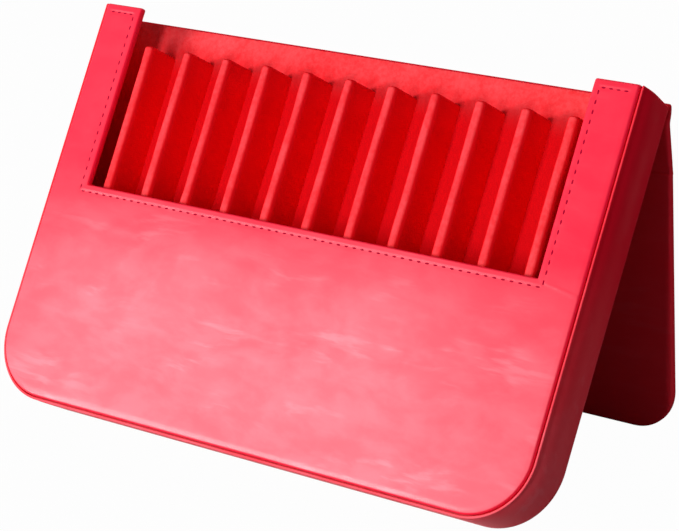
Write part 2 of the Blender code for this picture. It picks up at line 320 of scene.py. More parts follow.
def feed(tree, made, inputs):
    """Gives a shader node its inputs, each a value or a socket to join."""
    for label, value in inputs.items():
        if isinstance(value, bpy.types.NodeSocket):
            tree.links.new(value, made.inputs[label])
        else:
            made.inputs[label].default_value = value


def node(tree, kind, inputs=None, **settings):
    """A shader node with its settings and its inputs."""
    made = tree.nodes.new(kind)
    for label, value in settings.items():
        setattr(made, label, value)
    feed(tree, made, inputs or {})
    return made


def group(name, inputs, outputs):
    """A shader node group with named inputs and outputs, and its two end nodes."""
    made = bpy.data.node_groups.new(name, "ShaderNodeTree")
    for label, kind in inputs:
        made.interface.new_socket(label, in_out="INPUT", socket_type=kind)
    for label, kind in outputs:
        made.interface.new_socket(label, in_out="OUTPUT", socket_type=kind)
    return made, made.nodes.new("NodeGroupInput").outputs, made.nodes.new("NodeGroupOutput")


VECTOR = "NodeSocketVector"
COLOUR = "NodeSocketColor"
VALUE = "NodeSocketFloat"


def noise_value(tree, place, scale, detail=2.0, roughness=0.5, distortion=0.0, output=0):
    made = node(
        tree, "ShaderNodeTexNoise",
        {"Vector": place, "Scale": scale, "Detail": detail, "Roughness": roughness,
         "Distortion": distortion},
    )
    return made.outputs[output]


def ranged(tree, value, low, high, to_low=0.0, to_high=1.0):
    """A smooth step from one value to another as the given one goes from low to high."""
    made = node(
        tree, "ShaderNodeMapRange",
        {"Value": value, "From Min": low, "From Max": high, "To Min": to_low, "To Max": to_high},
        interpolation_type="SMOOTHSTEP",
    )
    return made.outputs["Result"]


def maths(tree, operation, first, second):
    return node(tree, "ShaderNodeMath", {0: first, 1: second}, operation=operation).outputs[0]


def vector_maths(tree, operation, inputs):
    return node(tree, "ShaderNodeVectorMath", inputs, operation=operation).outputs[0]


def weighted(tree, *parts):
    """The sum of values, each times its weight."""
    total = None
    for value, weight in parts:
        share = maths(tree, "MULTIPLY", value, weight)
        total = share if total is None else maths(tree, "ADD", total, share)
    return total


def mixed(tree, share, first, second):
    """A mix of two colours."""
    inputs = {0: share, 6: first, 7: second}
    return node(tree, "ShaderNodeMix", inputs, data_type="RGBA").outputs[2]


def xyz_of(tree, vector):
    return node(tree, "ShaderNodeSeparateXYZ", {"Vector": vector}).outputs


# The leather's pattern: scales, shares of the pale tone, and how it is warped and drawn out
CLOUD_SCALE = 30
MOTTLE_SCALE = 95
STREAK_SCALE = 230
WISP_PATCH_SCALE = 48
PORE_SCALE = 1100.0
GRAIN_SCALE = 2600
CLOUD_SHARE = 0.13
MOTTLE_SHARE = 0.18
WISP_SHARE = 0.26
EVEN_SHARE = 0.395
CLOUD_STRETCH = (0.5, 1, 1)
STREAK_STRETCH = (0.35, 1, 1)
WARP_REACH = 0.016


def washed_leather():
    """Cloudy leather: drawn-out clouds, thin pale wisps where the dye broke, and a fine grain.

    Wash is how pale it is on the whole, from 0 to 1, and the clouds get stronger with it.
    """
    made, given, out = group(
        "washed_leather",
        [("Place", VECTOR), ("Deep", COLOUR), ("Pale", COLOUR), ("Wash", VALUE)],
        [("Colour", COLOUR), ("Roughness", VALUE), ("Height", VALUE)],
    )
    place = given["Place"]
    stretch = node(made, "ShaderNodeMapping", {"Vector": place, "Scale": CLOUD_STRETCH})
    stretched = stretch.outputs[0]
    push = noise_value(made, stretched, CLOUD_SCALE, 3, output="Color")
    centred = vector_maths(made, "SUBTRACT", {0: push, 1: (0.5, 0.5, 0.5)})
    scaled = vector_maths(made, "SCALE", {0: centred, "Scale": WARP_REACH})
    warped = vector_maths(made, "ADD", {0: stretched, 1: scaled})

    cloud = ranged(made, noise_value(made, warped, CLOUD_SCALE, 3), 0.36, 0.66)
    mottle = ranged(made, noise_value(made, warped, MOTTLE_SCALE, 4, 0.56), 0.34, 0.68)
    drawn = node(made, "ShaderNodeMapping", {"Vector": warped, "Scale": STREAK_STRETCH})
    streak = ranged(made, noise_value(made, drawn.outputs[0], STREAK_SCALE, 3), 0.50, 0.68)
    where = ranged(made, noise_value(made, stretched, WISP_PATCH_SCALE, 2), 0.47, 0.62)
    wisp = maths(made, "MULTIPLY", streak, where)
    tone = weighted(made, (cloud, CLOUD_SHARE), (mottle, MOTTLE_SHARE), (wisp, WISP_SHARE))
    tone = maths(made, "MULTIPLY", maths(made, "ADD", tone, EVEN_SHARE), given["Wash"])

    pores = node(
        made, "ShaderNodeTexVoronoi", {"Vector": place, "Scale": PORE_SCALE}, feature="F1"
    )
    pore = ranged(made, pores.outputs["Distance"], 0.0, 0.5)
    fine = noise_value(made, place, GRAIN_SCALE, 2)
    feed(made, out, {
        "Colour": mixed(made, tone, given["Deep"], given["Pale"]),
        "Roughness": ranged(made, mottle, 0.0, 1.0, 0.36, 0.46),
        "Height": weighted(made, (pore, 0.4), (fine, 0.3), (wisp, 0.5)),
    })
    return made


# The suede's pattern: scales and shares of the pale tone
BRUSHED_SCALE = 55
SPECK_SCALE = 520
FIBRE_SCALE = 1100
BRUSHED_SHARE = 0.20
SPECK_SHARE = 0.24
NAP_SHARE = 0.24


def brushed_suede():
    """Suede with a mottled nap that lies this way and that, and a fine fibre."""
    made, given, out = group(
        "brushed_suede",
        [("Place", VECTOR), ("Deep", COLOUR), ("Pale", COLOUR)],
        [("Colour", COLOUR), ("Height", VALUE)],
    )
    place = given["Place"]
    nap_and_painted_light = ranged(made, noise_value(made, place, BRUSHED_SCALE, 3, 0.55, 0.6), 0.35, 0.68)
    speck = ranged(made, noise_value(made, place, SPECK_SCALE, 3, 0.65), 0.3, 0.7)
    fibre = noise_value(made, place, FIBRE_SCALE, 3, 0.7)
    tone = weighted(made, (nap_and_painted_light, BRUSHED_SHARE), (speck, SPECK_SHARE))
    tone = maths(made, "ADD", tone, NAP_SHARE)
    feed(made, out, {
        "Colour": mixed(made, tone, given["Deep"], given["Pale"]),
        "Height": weighted(made, (fibre, 1.0), (nap_and_painted_light, 0.3)),
    })
    return made


def material(name):
    """A material with one Principled shader; gives back the material, its tree and that shader."""
    made = bpy.data.materials.new(name)
    made.use_nodes = True
    return made, made.node_tree, made.node_tree.nodes["Principled BSDF"]


def object_place(tree):
    return node(tree, "ShaderNodeTexCoord").outputs["Object"]


def case_place(tree):
    """Object coordinates turned into the case's frame, so that a pattern runs along its panels."""
    turned = node(
        tree, "ShaderNodeMapping",
        {"Vector": object_place(tree), "Location": CASE.translation, "Rotation": CASE.to_euler()},
        vector_type="TEXTURE",
    )
    return turned.outputs[0]


def bump(tree, shader, height, strength, distance):
    made = node(
        tree, "ShaderNodeBump", {"Height": height, "Strength": strength, "Distance": distance}
    )
    feed(tree, shader, {"Normal": made.outputs[0]})


def facing_front(tree, low, high):
    """How far a surface of the case faces its front: 0 at the cosine low, 1 at high."""
    normal = node(tree, "ShaderNodeTexCoord").outputs["Normal"]
    facing = node(
        tree, "ShaderNodeVectorMath", {0: normal, 1: CASE.to_3x3() @ -Y_WAY},
        operation="DOT_PRODUCT",
    )
    return ranged(tree, facing.outputs["Value"], low, high)


# Where the front's wash, with its painted sheen, thins out towards its sides, and the share that is left at the
# side
RIGHT_FADE = (0.055, 0.130)
RIGHT_WASH = 0.66
LEFT_FADE = (-0.130, -0.085)
LEFT_WASH = 0.70

# Cosines between a surface and the case's front, from which and up to which a tone comes in: painted
# light, pale on what faces the front, which the lamps light, and deeper where a surface turns away
TURNED_COSINES = (0.75, 0.96)
FACING_HIGHLIGHT_COSINES = (0.3, 0.9)
LIT_SUEDE_COSINES = (0.66, 0.99)


def leather_look(name, deep, wash, gloss, fade, coat=0.0, turned=False, painted_facing_highlight=0.0):
    """Washed leather, with painted light. fade gives two heights on the case, and wash how pale it is at
    each; where the two differ, the change between the heights is painted light: a sheen on the front,
    a reflection of the floor on the wall.

    With a coat, the leather gets its shine as it gets its wash. Where turned is set, the wash and its
    painted sheen thin out towards the case's sides and end where the leather turns over an edge. The
    last argument adds a painted highlight: a paler tone where the leather faces the front.
    """
    made, tree, shader = material(name)
    place = case_place(tree)
    parts = xyz_of(tree, place)
    # Where the wash differs at the two heights, the change between them is painted light: a sheen on the front, a
    # reflection of the floor on the wall.
    wash_and_painted_sheen = ranged(tree, parts["Z"], *fade, *wash)
    # The painted sheen is kept to the front: thinned towards the sides and taken off where the leather turns away
    # from the front.
    if turned:
        right = ranged(tree, parts["X"], *RIGHT_FADE, 1.0, RIGHT_WASH)
        left = ranged(tree, parts["X"], *LEFT_FADE, LEFT_WASH, 1.0)
        for share in (right, left, facing_front(tree, *TURNED_COSINES)):
            wash_and_painted_sheen = maths(tree, "MULTIPLY", wash_and_painted_sheen, share)
    # Painted highlight: a paler tone where the leather faces the front.
    if painted_facing_highlight:
        facing = facing_front(tree, *FACING_HIGHLIGHT_COSINES)
        wash_and_painted_sheen = maths(tree, "ADD", wash_and_painted_sheen, maths(tree, "MULTIPLY", facing, painted_facing_highlight))
    grain = node(
        tree, "ShaderNodeGroup",
        {"Place": place, "Deep": (*deep, 1), "Pale": (*PALE_PINK, 1), "Wash": wash_and_painted_sheen},
        node_tree=leather_effect,
    )
    feed(tree, shader, {
        "Base Color": grain.outputs["Colour"],
        "Roughness": grain.outputs["Roughness"],
        "Specular IOR Level": gloss,
    })
    bump(tree, shader, grain.outputs["Height"], 0.12, 0.0003)
    if coat:
        weight = ranged(tree, parts["Z"], *fade, 0.0, coat)
        feed(tree, shader, {"Coat Weight": weight, "Coat Roughness": 0.13})
    return made


def suede_look(name, pale, fade=None):
    """Suede with painted light: paler on what faces the case's front, which the lamps light, and deeper
    on what turns away.

    fade gives two heights on the case, between which the pale tone comes in; below them it is left
    out, a painted shade down in the slots.
    """
    made, tree, shader = material(name)
    deep = (*DEEP_SUEDE, 1)
    # Painted light: the pale tone goes on what faces the case's front, which the lamps light, and the deep one on
    # what turns away.
    nap_and_painted_light = facing_front(tree, *LIT_SUEDE_COSINES)
    # Painted shade: below the fade's heights the pale tone is left out, so the lining stays deep red down in the
    # slots.
    if fade:
        height = xyz_of(tree, case_place(tree))["Z"]
        nap_and_painted_light = maths(tree, "MULTIPLY", nap_and_painted_light, ranged(tree, height, *fade))
    shade = mixed(tree, nap_and_painted_light, deep, (*pale, 1))
    nap = node(
        tree, "ShaderNodeGroup", {"Place": object_place(tree), "Deep": deep, "Pale": shade},
        node_tree=suede_effect,
    )
    feed(tree, shader, {
        "Base Color": nap.outputs["Colour"],
        "Roughness": 1.0,
        "Specular IOR Level": 0.0,
        "Sheen Weight": 0.03,
        "Sheen Roughness": 0.5,
        "Sheen Tint": (1.0, 0.25, 0.25, 1),
    })
    bump(tree, shader, nap.outputs["Height"], 0.5, 0.0004)
    return made


def thread_look():
    made, tree, shader = material("thread")
    twist = noise_value(tree, object_place(tree), 1500, 2)
    shade = mixed(tree, twist, (0.28, 0.0, 0.016, 1), (0.46, 0.002, 0.034, 1))
    feed(tree, shader, {"Base Color": shade, "Roughness": 0.85, "Specular IOR Level": 0.05})
    bump(tree, shader, twist, 0.3, 0.0002)
    return made


def board_look():
    made, tree, shader = material("grey_board")
    pulp = noise_value(tree, object_place(tree), 700, 4, 0.6)
    shade = mixed(tree, pulp, (0.34, 0.29, 0.22, 1), (0.50, 0.44, 0.35, 1))
    feed(tree, shader, {"Base Color": shade, "Roughness": 0.9})
    bump(tree, shader, pulp, 0.3, 0.0002)
    return made


def steel_look():
    made, tree, shader = material("plated_steel")
    brushing = noise_value(tree, object_place(tree), 900, 3)
    feed(tree, shader, {
        "Base Color": (0.60, 0.60, 0.62, 1),
        "Metallic": 1.0,
        "Roughness": ranged(tree, brushing, 0.3, 0.7, 0.28, 0.42),
    })
    return made


# Colours, and heights on the case between which a look changes. The pale suede tones are painted
# light on what faces the front; the heights place a painted sheen on the front, a painted reflection
# of the floor on the wall, and painted shade down in the slots
DEEP_RED = (0.93, 0.008, 0.042)
WALL_RED = (0.93, 0.006, 0.026)
PALE_PINK = (1.0, 0.305, 0.360)
DEEP_SUEDE = (0.88, 0.006, 0.012)
LIT_FACE_SUEDE = (1.0, 0.105, 0.120)
LIT_SLOT_SUEDE = (1.0, 0.122, 0.138)
FRONT_SHEEN_HEIGHTS = (0.107, 0.045)
WALL_HEIGHTS = (0.12, 0.0)
SLOT_SHADE_HEIGHTS = (0.148, 0.167)

leather_effect = washed_leather()
suede_effect = brushed_suede()
# The front's wash grows towards the foot: a painted sheen, laid over the leather's own clouds and wisps.
front_leather = leather_look(
    "front_leather_with_painted_sheen", DEEP_RED, wash=(0.18, 0.98), gloss=0.12, fade=FRONT_SHEEN_HEIGHTS,
    coat=0.13, turned=True,
)
# The wall's wash grows towards the foot, a painted reflection of the white floor, and the facing share paints a
# highlight on the bead and the leather just behind it.
wall_leather = leather_look(
    "wall_leather", WALL_RED, wash=(0.0, 0.42), gloss=0.01, fade=WALL_HEIGHTS, painted_facing_highlight=0.2
)
cover_leather = leather_look(
    "cover_leather", WALL_RED, wash=(0.12, 0.12), gloss=0.0, fade=WALL_HEIGHTS
)
suede = suede_look("red_suede", LIT_FACE_SUEDE)
# The back lining's suede, with painted shade in the slots below the dividers' tops.
slot_shaded_suede = suede_look("slot_shaded_suede", LIT_SLOT_SUEDE, SLOT_SHADE_HEIGHTS)
thread = thread_look()
board = board_look()
steel = steel_look()


# The front panel

CREASE_HEIGHT = 0.00018
CREASE_REACH = 0.0006
RIDGE_HEIGHT = 0.00022
RIDGE_FROM_SILL = 0.0022
RIDGE_REACH = 0.0007
RIDGE_CELL = 0.55 * RIDGE_REACH
RIDGE_END = 0.003
TOP_RIDGE_RISE = 0.0011
TOP_RIDGE_END = 0.002
UNDULATION_SHARE = 0.14
UNDULATION_SCALE = 26
SEAM_PULL = 0.7
STITCH_PULL = 0.3
FRONT_PLACE = CASE @ Matrix.Rotation(math.pi / 2, 4, "X")


def on_face(x, y):
    return Vector((x, y, 0))


seam_x = SILL_STITCHES / 2 * STITCH_PITCH
seam_y = sill - SEAM_FROM_SILL
seam_top = front_high.z - TOP_SEAM_DROP
seam_end = seam_x + END_SEAM_REACH
post_pitch = (seam_top - seam_y) / POST_STITCHES
SEAMS = [(on_face(-seam_x, seam_y), on_face(seam_x, seam_y), SILL_STITCHES)]
for x in (-seam_x, seam_x):
    SEAMS.append((on_face(x, seam_y), on_face(x, seam_top), POST_STITCHES))
for x, end_x in ((-seam_x, -seam_end), (seam_x, seam_end)):
    SEAMS.append((on_face(x, seam_top), on_face(end_x, seam_top), END_STITCHES))
CREASE = [on_face(0.1135, 0.0916), on_face(0.1255, 0.0893), on_face(0.1296, 0.0885)]


def rounded_edge_distance(x, y, half, low, high, radius):
    """How far inside a plate's outline a point is, with its low corners rounded."""
    over_x = abs(x) - (half - radius)
    over_y = low + radius - y
    if over_x > 0 and over_y > 0:
        return radius - math.hypot(over_x, over_y)
    return min(half - abs(x), y - low, high - y)


def front_crown(x, y):
    """The padded front's height: rolled down at the outline, a little lower beside the window."""
    outside = rounded_edge_distance(x, y, panel_half, panel_foot, front_high.z, panel_round)
    roll = 1 - min(max(outside, 0) / CROWN_REACH, 1)
    window = math.hypot(max(abs(x) - window_half, 0), max(sill - y, 0))
    dip = 1 - min(window / WINDOW_DIP_REACH, 1)
    waves = 1 + UNDULATION_SHARE * noise_at(x, y, UNDULATION_SCALE)
    crown = CROWN_HEIGHT * waves * (1 - roll * roll)
    return crown - WINDOW_DIP * dip * dip + seam_ridge(x, y)


def seam_ridge(x, y):
    """The ridge that the thread throws up beside the sill's seam and above the posts' top seams."""
    across = (sill - y - RIDGE_FROM_SILL) / RIDGE_REACH
    share = math.exp(-across * across) * smooth_step((seam_x - abs(x)) / RIDGE_END)
    across = (y - seam_top - TOP_RIDGE_RISE) / RIDGE_REACH
    ends = min(abs(x) - seam_x, seam_end - abs(x)) + TOP_RIDGE_END / 2
    share += math.exp(-across * across) * smooth_step(ends / TOP_RIDGE_END)
    return RIDGE_HEIGHT * share


def beside_line(x, y, start, end):
    """How far along a line a point of the face lies, from 0 to 1, and how far off it."""
    along = end - start
    away = on_face(x, y) - start
    share = min(max(away.dot(along) / along.length_squared, 0), 1)
    return share, (away - along * share).length


def seam_dip(x, y):
    """How deep the thread pulls the leather down at a point: most under each stitch."""
    deepest = 0.0
    for start, end, count in SEAMS:
        share, away = beside_line(x, y, start, end)
        pull = SEAM_PULL - STITCH_PULL * math.cos(2 * math.pi * share * count)
        deepest = max(deepest, pull * math.exp(-((away / SEAM_REACH) ** 2)))
    return SEAM_DEPTH * deepest


def crease_rise(x, y):
    """The short crease that runs from the window's right corner to the edge."""
    nearest = min(beside_line(x, y, *line)[1] for line in zip(CREASE, CREASE[1:]))
    return CREASE_HEIGHT * math.exp(-((nearest / CREASE_REACH) ** 2))


def front_rise(x, y):
    return front_crown(x, y) - seam_dip(x, y) + crease_rise(x, y)


def beside(places, reach=2):
    """Lines on both sides of seam lines, where the leather dips."""
    return [place + SEAM_REACH * k for place in places for k in range(-reach, reach + 1)]


def build_front():
    """The padded front panel with its window, and its lining with a slightly larger one."""
    depth = front_high.y - LINING_SEAT
    shape = turned_cover(
        panel_half, panel_foot, front_high.z, panel_round, 0, depth, window=True, turn=FRONT_ROUND
    )
    cut(shape, X_WAY, spaced(-panel_half, panel_half, FINE_CELL))
    cut(shape, X_WAY, [x for x in beside((-seam_x, seam_x)) if x not in (-seam_x, seam_x)])
    cut(shape, Y_WAY, spaced(panel_foot, front_high.z, post_pitch / 2, seam_y))
    cut(shape, Y_WAY, beside((seam_y, seam_top)))
    cut(shape, Y_WAY, [seam_y + RIDGE_CELL * k for k in range(1, 5)])
    raise_face(shape, front_rise, FRONT_ROUND)
    finish_piece(
        "front_panel", shape, FRONT_PLACE, front_leather, "case", ["front_leather"]
    )

    thickness = LINING_SEAT + LINING_PROUD
    sheet = bmesh.new()
    flat_outline(
        sheet, panel_half - LINING_INSET, panel_foot + LINING_INSET, front_high.z - LINING_INSET,
        panel_round - LINING_INSET,
    )
    open_window(sheet, window_half + LINING_INSET, sill - LINING_INSET)
    thicken(sheet, thickness)
    place = FRONT_PLACE @ Matrix.Translation((0, 0, -depth))
    finish_piece("front_inner_lining", sheet, place, suede, "case", ["front_lining"])


def build_stitching():
    """One row of short stitches along each seam, each a small thread capsule half sunk in."""
    shape = bmesh.new()
    size = Matrix.Diagonal((STITCH_LENGTH / 2, STITCH_WIDTH / 2, STITCH_HEIGHT / 2, 1))
    for start, end, count in SEAMS:
        along = end - start
        turn = Matrix.Rotation(math.atan2(along.y, along.x), 4, "Z")
        for k in range(count):
            middle = start + along * ((k + 0.5) / count)
            level = front_rise(middle.x, middle.y)
            place = Matrix.Translation((middle.x, middle.y, level))
            bmesh.ops.create_uvsphere(
                shape, u_segments=8, v_segments=5, radius=1, matrix=place @ turn @ size
            )
    finish_piece("window_stitching", shape, FRONT_PLACE, thread, "case")


build_front()
build_stitching()


# The wall: one strip of leather with a piped bead along its front

BEAD_RADIUS = 0.0005
BEAD_TUCK = 0.0006
GROOVE_FLOOR = 0.00305
BACK_PROUD = 0.0006
WALL_BACK = back_high.y - BACK_PROUD
WALL_EDGE = 0.0005
GROOVE_DEPTH = BEAD_DROP + 1.8 * BEAD_RADIUS
SWELL_START = BEAD_DROP + 2.3 * BEAD_RADIUS
SWELL_END = WALL_BACK - 4 * WALL_EDGE
WALL_SWELL = 0.00065
SWELL_REACH = 0.0075
SWELL_POWER = 2.2
SWELL_STEPS = 8
FOOT_SHARE = 0.85
SIDE_LINING_THICKNESS = 0.0006
TOP_FRONT_ROUND = 0.0009
TOP_EDGE = 0.0005
TOP_SLOPE = wall_high.z - back_high.z
TOP_FADE = 0.012
WALL_CELL = 0.004


def arc_points(x, y, radius, start, end, steps):
    angles = [math.radians(start + (end - start) * k / steps) for k in range(steps + 1)]
    return [(x + radius * math.cos(a), y + radius * math.sin(a)) for a in angles]


def wall_section():
    """The wall's closed section as (inset, depth) points, from the hem round the bead to the back.

    Behind the bead the leather comes up in a soft curve and stays a little full.
    """
    swell = []
    for k in range(SWELL_STEPS + 1):
        share = k / SWELL_STEPS
        rise = (BEAD_TUCK + WALL_SWELL) * (1 - (1 - share) ** SWELL_POWER)
        swell.append((BEAD_TUCK - rise, SWELL_START + share * SWELL_REACH))
    full = SWELL_START + SWELL_REACH
    for k in range(1, SWELL_STEPS):
        share = k / SWELL_STEPS
        level = 0.5 + 0.5 * math.cos(math.pi * share)
        swell.append((-WALL_SWELL * level, full + share * (SWELL_END - full)))
    return [
        (WALL_THICKNESS, GROOVE_FLOOR),
        (2 * BEAD_RADIUS, GROOVE_FLOOR),
        *arc_points(BEAD_RADIUS, BEAD_DROP + BEAD_RADIUS, BEAD_RADIUS, 0, -180, 8),
        (BEAD_TUCK / 3, GROOVE_DEPTH),
        *swell,
        (0, SWELL_END),
        *arc_points(WALL_EDGE, WALL_BACK - WALL_EDGE, WALL_EDGE, 180, 90, 4),
        (WALL_THICKNESS, WALL_BACK),
    ]


def pull(shape, edges, way, length):
    """Draws a ring of edges out in even steps."""
    steps = max(round(length / WALL_CELL), 1)
    for _ in range(steps):
        made = bmesh.ops.extrude_edge_only(shape, edges=edges)["geom"]
        verts = [part for part in made if isinstance(part, bmesh.types.BMVert)]
        edges = [part for part in made if isinstance(part, bmesh.types.BMEdge)]
        bmesh.ops.translate(shape, verts=verts, vec=way * (length / steps))
    return edges


def swing(shape, edges, middle_x, middle_z):
    """Turns a ring of edges round a lower corner of the case."""
    verts = list({vert for edge in edges for vert in edge.verts})
    made = bmesh.ops.spin(
        shape, geom=verts + edges, cent=(middle_x, 0, middle_z), axis=Y_WAY,
        angle=-math.pi / 2, steps=CORNER_STEPS + 4, use_merge=False, use_duplicate=False,
    )
    return [part for part in made["geom_last"] if isinstance(part, bmesh.types.BMEdge)]


def swept_band(section, top):
    """A closed section swept down the left side, along the foot and up the right side."""
    shape = bmesh.new()
    ring = [shape.verts.new((inset - case_half, depth, top)) for inset, depth in section]
    edges = [shape.edges.new(pair) for pair in zip(ring, ring[1:] + ring[:1])]
    first = shape.faces.new(ring)
    middle = case_half - CORNER_RADIUS
    edges = pull(shape, edges, -Z_WAY, top - CORNER_RADIUS)
    edges = swing(shape, edges, -middle, CORNER_RADIUS)
    edges = pull(shape, edges, X_WAY, 2 * middle)
    edges = swing(shape, edges, middle, CORNER_RADIUS)
    edges = pull(shape, edges, Z_WAY, top - CORNER_RADIUS)
    last = bmesh.ops.contextual_create(shape, geom=edges)["faces"]
    bmesh.ops.recalc_face_normals(shape, faces=shape.faces[:])
    ends = {edge for face in [first, *last] for edge in face.edges}
    return shape, list(ends)


def slope_top(shape, top, front_round):
    """Lets the wall's ends fall towards the back, with the front corner rounded."""
    for vert in shape.verts:
        share = smooth_step((vert.co.z - (top - TOP_FADE)) / TOP_FADE)
        drop = TOP_SLOPE * min(max((vert.co.y - GROOVE_FLOOR) / (WALL_BACK - GROOVE_FLOOR), 0), 1)
        over = max(BEAD_DROP + front_round - vert.co.y, 0)
        drop += front_round - math.sqrt(max(front_round ** 2 - over ** 2, 0))
        vert.co.z -= drop * share


def flatten_foot(shape):
    """Takes most of the wall's fullness off the foot, which the case stands on."""
    for vert in shape.verts:
        x, z = vert.co.x, vert.co.z
        proud = -rounded_edge_distance(x, z, case_half, 0, 1, CORNER_RADIUS)
        if proud > 0:
            vert.co.z += FOOT_SHARE * proud * smooth_step(1 - z / CORNER_RADIUS)


def build_wall():
    """The wall's leather with its bead, and the lining inside it."""
    shape, ends = swept_band(wall_section(), wall_high.z)
    flatten_foot(shape)
    round_off(shape, ends, TOP_EDGE, 3)
    slope_top(shape, wall_high.z, TOP_FRONT_ROUND)
    finish_piece("side_wall", shape, CASE, wall_leather, "case", ["side_leather"])

    low, high = local_box(CASE, "side_lining")
    outer = case_half - high.x
    inner = outer + SIDE_LINING_THICKNESS
    section = [(outer, low.y), (inner, low.y), (inner, high.y), (outer, high.y)]
    sheet, _ = swept_band(section, high.z)
    slope_top(sheet, high.z, 0)
    finish_piece("side_inner_lining", sheet, CASE, suede, "case", ["side_lining"])


build_wall()


# The back panel and its lining

BACK_INSET = 0.0004
PANEL_PUFF = 0.00025
LINING_PUFF = 0.0002
PUFF_MEAN = 0.7
PUFF_SWING = 0.6
PUFF_SCALE = 22
FLAT_BY_HINGE = 0.0085
BACK_PLACE = (
    CASE @ Matrix.Translation((0, back_high.y, 0)) @ Matrix.Rotation(math.pi, 4, "Z")
    @ Matrix.Rotation(math.pi / 2, 4, "X")
)


def soft_rise(half, low, high, height, shift, low_flat=0.0, high_flat=0.0):
    """A slightly padded face with slow waves in it, left flat next to a hinge."""

    def rise(x, y):
        edge = min(half - abs(x), y - low - low_flat, high - y - high_flat)
        share = math.sin(math.pi / 2 * min(max(edge, 0) / CROWN_REACH, 1))
        return height * share * (PUFF_MEAN + PUFF_SWING * noise_at(x, y, PUFF_SCALE, shift))

    return rise


def grid(shape, half, low, high, cell):
    cut(shape, X_WAY, spaced(-half, half, cell))
    cut(shape, Y_WAY, spaced(low, high, cell))


def build_back():
    depth = back_high.y - back_low.y
    shape = turned_cover(
        case_half - BACK_INSET, back_low.z + BACK_INSET, back_high.z,
        CORNER_RADIUS - BACK_INSET, 0, depth,
    )
    grid(shape, case_half, back_low.z, back_high.z, BROAD_CELL)
    rise = soft_rise(
        case_half, back_low.z, back_high.z, PANEL_PUFF, shift=3.0, high_flat=FLAT_BY_HINGE
    )
    raise_face(shape, rise, FACE_ROUND)
    finish_piece(
        "back_panel", shape, BACK_PLACE, cover_leather, "case", ["back_leather"]
    )

    low, high = local_box(CASE, "back_lining")
    inset = case_half - high.x
    sheet = lining_sheet(high.x, low.z, high.z, CORNER_RADIUS - inset, 0, high.y - low.y)
    grid(sheet, high.x, low.z, high.z, BROAD_CELL)
    rise = soft_rise(high.x, low.z, high.z, LINING_PUFF, shift=5.0)
    raise_face(sheet, rise, high.y - low.y)
    place = CASE @ Matrix.Translation((0, low.y, 0)) @ Matrix.Rotation(math.pi / 2, 4, "X")
    finish_piece("back_inner_lining", sheet, place, slot_shaded_suede, "case", ["back_lining"])


build_back()


# The slots: suede dividers on a padded floor

DIVIDERS = 11
DIVIDER_NOSE = 0.0022
DIVIDER_TOP = 0.0014
DIVIDER_CELL = 0.0035
NAP_LUMP = 0.00028
LUMP_SCALE = 80
LUMP_SHIFT = 7.3
WAVE_SCALE = 28
WAVE_SHIFT = 3.1
PAD_CROWN = 0.0007
PAD_CELL = 0.0021


def build_divider(number):
    """A divider: suede drawn round a card, with a soft rounded front and top."""
    name = f"divider_cover_{number:02d}"
    low, high = local_box(CASE, name)
    size = high - low
    shape = bmesh.new()
    place = Matrix.Translation((low + high) / 2) @ Matrix.Diagonal((*size, 1))
    bmesh.ops.create_cube(shape, size=1, matrix=place)
    shape.normal_update()
    nose = [
        edge for edge in shape.edges
        if all(abs(vert.co.y - low.y) < TINY for vert in edge.verts)
        and abs(edge.verts[0].co.x - edge.verts[1].co.x) < TINY
    ]
    round_off(shape, nose, DIVIDER_NOSE, 8)
    top = [
        edge for edge in rim_edges(shape, high.z)
        if any(vert.co.y < high.y - TINY for vert in edge.verts)
    ]
    round_off(shape, top, DIVIDER_TOP, 4)
    cut(shape, Z_WAY, spaced(low.z, high.z, DIVIDER_CELL))
    cut(shape, Y_WAY, spaced(low.y, high.y, DIVIDER_CELL))
    for vert in shape.verts:
        lump = noise.noise(vert.co * LUMP_SCALE + Vector((number * LUMP_SHIFT, 0, 0)))
        wave = noise.noise(Vector((number * WAVE_SHIFT, vert.co.z * WAVE_SCALE, 0)))
        lift = smooth_step((vert.co.z - low.z) / size.z * 3)
        side = 1 if vert.co.x > (low.x + high.x) / 2 else -1
        vert.co.x += (side * lump + wave) * NAP_LUMP * lift
    finish_piece(f"suede_divider_{number:02d}", shape, CASE, suede, "case", [name])


def build_floor_pad():
    """The padded floor: flat where the dividers stand on it and swelling between them."""
    low, high = local_box(CASE, "floor_pad")
    inset = low.z - wall_low.z
    radius = CORNER_RADIUS - inset
    half = case_half - inset
    shape = bmesh.new()
    flat_outline(shape, half, low.z, low.z + 2 * radius, radius)
    bmesh.ops.bisect_plane(
        shape, geom=whole(shape), dist=TINY, plane_co=(0, high.z, 0), plane_no=Y_WAY,
        clear_outer=True,
    )
    thicken(shape, high.y - low.y)
    cut(shape, X_WAY, spaced(-half, half, PAD_CELL))
    cut(shape, Z_WAY, spaced(low.y - high.y, 0, PAD_CELL))
    pitch = local_box(CASE, "divider_cover_02")[0].x - local_box(CASE, "divider_cover_01")[0].x
    for vert in shape.verts:
        if vert.co.y > high.z - TINY:
            swell = 1 - abs(math.cos(math.pi * vert.co.x / pitch))
            depth = -vert.co.z / (high.y - low.y)
            vert.co.y += PAD_CROWN * swell * math.sin(math.pi * depth)
    place = CASE @ Matrix.Translation((0, low.y, 0)) @ Matrix.Rotation(math.pi / 2, 4, "X")
    pad = finish_piece("padded_floor", shape, place, suede, "case", ["floor_pad"])


for number in range(1, DIVIDERS + 1):
    build_divider(number)
build_floor_pad()


# The cover: two panels, the leather joint at the top edge and the soft fold between them

COVER_PUFF = 0.0003
NOSE_RADIUS = 0.00055
NOSE_FLAT = 0.001
TONGUE_FALL_SHARE = 0.28
JOINT_CELL = 0.0007
PANEL_FROM_FOLD = 0.0015
FOLD_HALF = 0.0024
FOLD_CELL = 0.0004
FOLD_INSET = 0.0001
FOLD_ROUND = 0.0004

